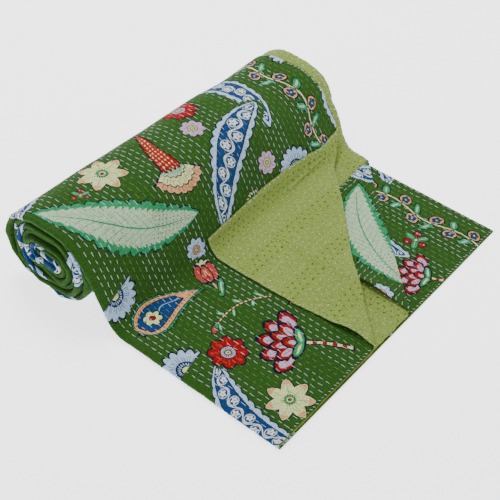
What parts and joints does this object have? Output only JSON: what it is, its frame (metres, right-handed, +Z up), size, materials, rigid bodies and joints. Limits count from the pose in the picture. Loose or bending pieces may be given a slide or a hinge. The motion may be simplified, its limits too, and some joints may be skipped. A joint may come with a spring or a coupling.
{
  "type": "kantha quilt",
  "caption": "Reversible cotton quilt stitched in close running rows, folded into a strip and rolled up, its loose end flat with two corners turned back.",
  "frame": {"origin": "on the surface, under the centre of the whole thing's box", "axes": "+X along the roll towards the side with the open hems, +Y from the loose end towards the roll, +Z up"},
  "size_m": [0.7184, 0.6276, 0.1641],
  "materials": {
    "printed_cotton": "matt plain-weave cotton, dark green ground with a many-coloured flower print, drawn in by rows of running stitches",
    "backing_cotton": "matt plain-weave cotton, light olive green, drawn in by the same rows of stitches"
  },
  "bodies": {
    "root": {"wound_roll": "printed_cotton", "loose_end_face": "printed_cotton", "loose_end_backing": "backing_cotton"}
  },
  "joints": []
}
